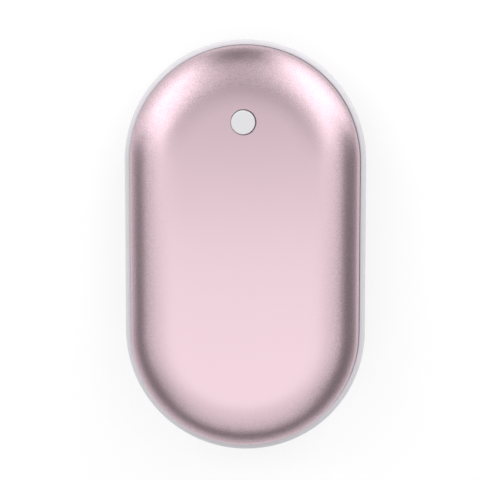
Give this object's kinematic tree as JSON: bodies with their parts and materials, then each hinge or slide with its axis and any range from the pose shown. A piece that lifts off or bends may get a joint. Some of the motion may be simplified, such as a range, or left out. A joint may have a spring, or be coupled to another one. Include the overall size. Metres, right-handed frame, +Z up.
{
  "type": "rechargeable hand warmer",
  "caption": "Pebble-shaped rechargeable pocket hand warmer: anodised aluminium dish covers on a white plastic band, with a push button, charging and output sockets.",
  "frame": {"origin": "middle of the rear cover's flat, which it lies on", "axes": "+X across its width, +Y along its length towards the button and sockets, +Z up out of the front cover"},
  "size_m": [0.06, 0.1026, 0.0273],
  "materials": {
    "cover_aluminium": "rose-gold anodised, fine bead-blasted",
    "band_plastic": "white, satin",
    "button_plastic": "white, satin",
    "adhesive": "cured bead",
    "frame_plastic": "moulded, matte",
    "screw_steel": "zinc plated",
    "cell_sleeve": null,
    "nickel": "spot-welded strip",
    "lead_red": "silicone insulation",
    "lead_black": "silicone insulation",
    "lead_white": "twin silicone lead",
    "board": "solder mask",
    "chip_black": "moulded package",
    "ferrite": "sintered",
    "capacitor": "fired",
    "switch_black": "moulded",
    "socket_steel": "nickel plated",
    "socket_insulator": "moulded",
    "socket_insulator_dark": "moulded",
    "contact": "gold flashed",
    "clear_plastic": "frosted clear",
    "light": "chip light",
    "film": "polyimide film",
    "foam": "closed-cell silicone foam",
    "sensor": "coated bead"
  },
  "bodies": {
    "housing": {"front_cover": "cover_aluminium", "rear_cover": "cover_aluminium", "band": "band_plastic", "front_adhesive": "adhesive", "rear_adhesive": "adhesive", "inner_frame": "frame_plastic", "frame_screws": "screw_steel", "board_screws": "screw_steel", "left_cell": "cell_sleeve", "right_cell": "cell_sleeve", "positive_strip": "nickel", "negative_strip": "nickel", "positive_lead": "lead_red", "negative_lead": "lead_black", "circuit_board": "board", "switch_base": "switch_black", "usb_a_shell": "socket_steel", "usb_a_insulator": "socket_insulator", "usb_a_contacts": "contact", "micro_usb_shell": "socket_steel", "micro_usb_insulator": "socket_insulator_dark", "light_guide": "clear_plastic", "indicator_lights": "light", "controller_chip": "chip_black", "inductor": "ferrite", "capacitors": "capacitor", "front_heater": "film", "rear_heater": "film", "front_pad": "foam", "rear_pad": "foam", "front_heater_lead": "lead_white", "rear_heater_lead": "lead_white", "thermistor": "sensor", "thermistor_lead": "lead_black"},
    "button": {"button": "button_plastic", "switch_plunger": "switch_black"}
  },
  "joints": [
    {"name": "button_press", "type": "slide", "parent": "housing", "child": "button", "axis": [0, 0, -1], "range_m": [0, 0.0003], "stiffness_N_per_m": 2000, "springref_m": -0.0002}
  ]
}
